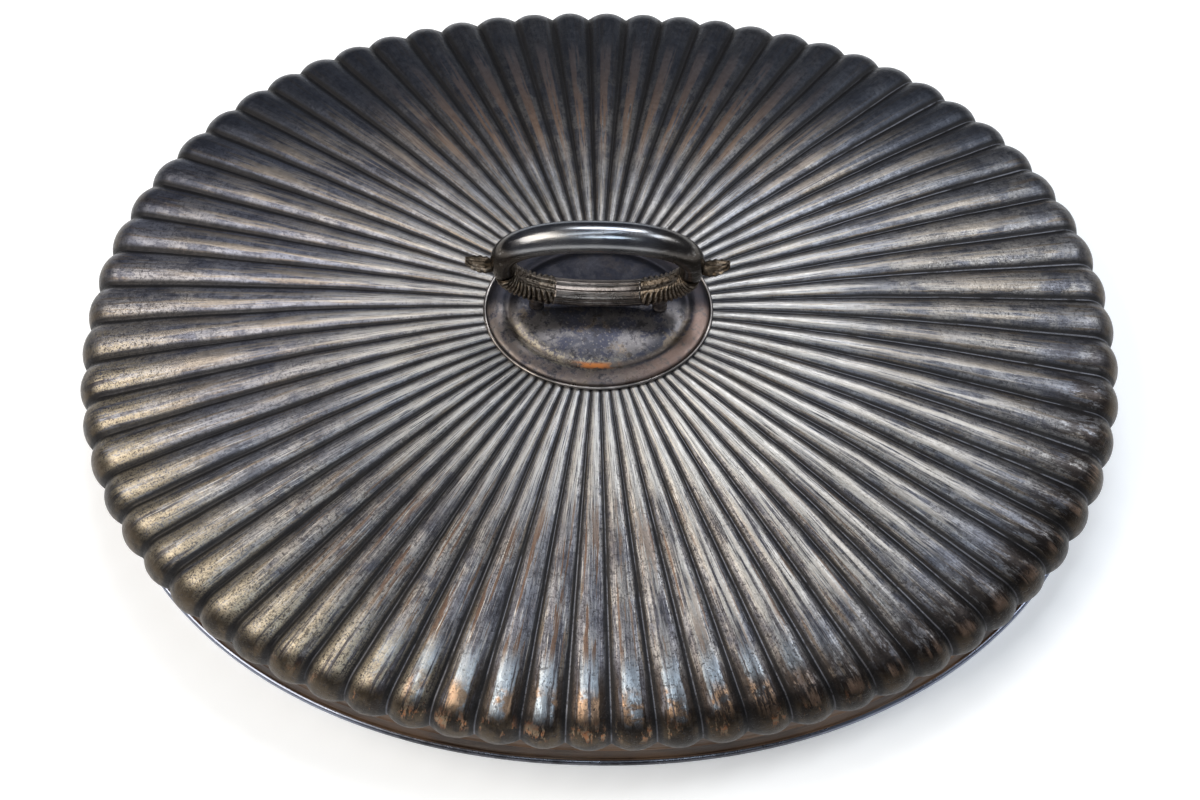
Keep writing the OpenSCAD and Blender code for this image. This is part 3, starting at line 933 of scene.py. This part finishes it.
def grip_look():
    look = Look("polished_grip_painted_shade")
    x, y, z = look.position()
    clouds = look.noise(45.0, 4.0, 0.55)
    scratches = look.noise(1.0, 3.0, 0.6, look.stretched(60, 900, 500))
    uneven = look.math("ADD", z, look.math("MULTIPLY", clouds, 0.006))
    # Painted shade: the grip is dark brown below its top, standing in for its dark reflection of the plate
    under = look.between(uneven, LOOP_Z + 23 * MM, LOOP_Z + 16 * MM)
    color = look.mix(look.between(clouds, 0.35, 0.65), (0.15, 0.16, 0.185), (0.26, 0.26, 0.262))
    color = look.mix(look.both(under, 0.95), color, (0.075, 0.062, 0.05))
    # Painted shade: the back half of the grip is dark blue
    color = look.mix(look.both(look.between(y, 0.0005, 0.0045), 0.9), color, (0.05, 0.062, 0.085))
    uneven_x = look.math("ADD", x, look.math("MULTIPLY", clouds, 0.01))
    far_out = look.between(look.math("ABSOLUTE", uneven_x), 0.024, 0.036)
    color = look.mix(look.both(far_out, 0.85), color, (0.06, 0.052, 0.045))
    color = look.mix(look.between(scratches, 0.56, 0.7, 0.0, 0.3), color, (0.5, 0.48, 0.46))
    roughness = look.between(clouds, 0.3, 0.7, 0.17, 0.28)
    return look.finish(color, roughness, 1.0, look.bump(scratches, 0.00005))


def bar_look():
    look = Look("reeded_bar_silver")
    clouds = look.noise(80.0, 4.0, 0.6)
    fine = look.noise(700.0, 3.0, 0.6)
    color = look.mix(look.between(clouds, 0.4, 0.62), (0.10, 0.085, 0.075), (0.23, 0.20, 0.18))
    color = look.mix(look.between(fine, 0.5, 0.7, 0.0, 0.6), color, (0.05, 0.038, 0.03))
    return look.finish(color, look.between(clouds, 0.3, 0.7, 0.25, 0.4), 1.0, look.bump(fine, 0.00012))


def leaf_look(name="leaf_silver_brown", with_relief=True):
    look = Look(name)
    clouds = look.noise(110.0, 4.0, 0.6)
    fine = look.noise(900.0, 3.0, 0.6)
    if with_relief:
        worn = look.between(look.attribute("crest"), 0.55, 0.95)
    else:
        worn = look.between(clouds, 0.5, 0.62)
    color = look.mix(look.between(clouds, 0.4, 0.6), (0.022, 0.017, 0.012), (0.07, 0.052, 0.036))
    color = look.mix(look.both(worn, look.between(fine, 0.38, 0.56), 0.8), color, (0.24, 0.20, 0.16))
    return look.finish(color, look.between(fine, 0.3, 0.7, 0.28, 0.45), 1.0, look.bump(fine, 0.00015))


def steel_look():
    look = Look("dull_steel")
    fine = look.noise(500.0, 4.0, 0.6)
    color = look.mix(look.between(fine, 0.4, 0.65), (0.42, 0.40, 0.37), (0.22, 0.17, 0.13))
    return look.finish(color, look.between(fine, 0.3, 0.7, 0.35, 0.5), 1.0, look.bump(fine, 0.00006))


def brass_look():
    look = Look("old_brass")
    clouds = look.noise(220.0, 4.0, 0.6)
    fine = look.noise(1200.0, 3.0, 0.6)
    color = look.mix(look.between(clouds, 0.38, 0.62), (0.30, 0.20, 0.085), (0.56, 0.42, 0.2))
    color = look.mix(look.between(fine, 0.55, 0.7, 0.0, 0.6), color, (0.12, 0.085, 0.05))
    return look.finish(color, look.between(clouds, 0.3, 0.7, 0.3, 0.48), 1.0, look.bump(fine, 0.00008))


# ---- Build ----

def build_cover():
    place(fluted_dome(), "fluted_dome", "cover", dome_look())
    place(rim_band(), "rim_band", "cover", band_look())
    place(rim_wire(), "rim_wire", "cover", wire_look())
    place(crown_plate(), "crown_plate", "cover", crown_look())
    place(crown_wire(), "crown_wire", "cover", bright_look())
    place(backing_plate(), "backing_plate", "cover", inner_look())


def build_handle():
    leaf = leaf_look()
    ear_leaf = leaf_look("ear_silver_brown", with_relief=False)
    bar = bar_look()
    steel = steel_look()
    place(handle_grip(), "handle_grip", "handle", grip_look())
    place(reeded_bar(), "reeded_bar", "handle", bar)
    for side, word in ((-1, "left"), (1, "right")):
        place(leaf_arm(f"{word}_arm_leaves", side), f"{word}_leaf_arm", "handle", leaf)
        place(ear(f"{word}_ear_leaf", side), f"{word}_ear", "handle", ear_leaf)
        place(foot(f"{word}_turned_foot", side), f"{word}_foot", "handle", bar)
        place(stud(f"{word}_threaded_stud", side), f"{word}_stud", "handle", steel)


def build_fastening():
    brass = brass_look()
    for side, word in ((-1, "left"), (1, "right")):
        place(washer(f"{word}_flat_washer", side), f"{word}_washer", f"{word}_washer", brass)
        place(wing_nut(f"{word}_winged_nut", side), f"{word}_wing_nut", f"{word}_nut", brass)


# ---- Camera, floor and light ----

def add_camera():
    """The viewpoint: 61 degrees up, a little to the right of the cover's front, with a 69 mm lens."""
    elevation, azimuth, roll, distance = 61.2, 1.9, -0.7, 1.014
    target = Vector((0.0011, -0.0236, BELLY_Z))
    ahead = Vector((-sin(azimuth) * cos(elevation), cos(azimuth) * cos(elevation), -sin(elevation)))
    right = Vector((cos(azimuth), sin(azimuth), 0))
    up = right.cross(ahead)
    x_axis = right * cos(roll) + up * sin(roll)
    y_axis = up * cos(roll) - right * sin(roll)
    spot = target - ahead * distance
    camera = bpy.data.objects.new("camera", bpy.data.cameras.new("camera"))
    camera.data.lens = 69.0
    camera.data.sensor_width = 36.0
    camera.data.clip_start = 0.05
    camera.matrix_world = Matrix((x_axis, y_axis, -ahead)).transposed().to_4x4()
    camera.location = spot
    bpy.context.scene.collection.objects.link(camera)
    bpy.context.scene.camera = camera


def add_softbox(name, spot, aim, size, power, color):
    light = bpy.data.lights.new(name, "AREA")
    light.shape = "RECTANGLE"
    light.size, light.size_y = size
    light.energy = power
    light.color = color
    lamp = bpy.data.objects.new(name, light)
    lamp.location = spot
    lamp.rotation_euler = (Vector(aim) - Vector(spot)).to_track_quat("-Z", "Y").to_euler()
    bpy.context.scene.collection.objects.link(lamp)


def add_floor():
    """A plain white table, lit a little from within so that its near side stays white."""
    reach = 4.0
    corners = [(-reach, -reach, 0), (reach, -reach, 0), (reach, reach, 0), (-reach, reach, 0)]
    mesh = bpy.data.meshes.new("floor")
    mesh.from_pydata(corners, [], [(0, 1, 2, 3)])
    floor = bpy.data.objects.new("floor", mesh)
    bpy.context.scene.collection.objects.link(floor)
    look = Look("pale_paper")
    look.feed(look.shader.inputs["Emission Color"], (0.94, 0.97, 1.0))
    look.feed(look.shader.inputs["Emission Strength"], 0.27)
    mesh.materials.append(look.finish((0.9, 0.9, 0.9), 0.9, 0.0))


def add_studio():
    add_floor()
    add_softbox("back_softbox", (0.2, 0.92, 1.66), (0, 0, 0), (1.0, 0.45), 15, (0.93, 0.96, 1.0))
    add_softbox("left_softbox", (-1.1, -0.3, 1.45), (0, 0, 0), (1.3, 1.1), 23, (1.0, 0.93, 0.83))
    add_softbox("right_softbox", (1.25, 0.35, 1.5), (0, 0, 0), (0.5, 0.7), 11, (0.9, 0.95, 1.0))
    add_softbox("overhead_strip", (-0.08, -0.1, 2.1), (0, 0, 0), (0.2, 1.3), 4.2, (0.85, 0.93, 1.0))
    add_softbox("front_fill", (0.1, -0.95, 1.6), (0, 0, 0), (0.45, 0.25), 3.5, (0.78, 0.9, 1.0))
    world = bpy.data.worlds.new("studio")
    world.use_nodes = True
    world.node_tree.nodes["Background"].inputs["Color"].default_value = (0.11, 0.113, 0.13, 1)
    world.node_tree.nodes["Background"].inputs["Strength"].default_value = 1.0
    bpy.context.scene.world = world
    bpy.context.scene.view_settings.view_transform = "Standard"


build_cover()
build_handle()
build_fastening()
add_camera()
add_studio()
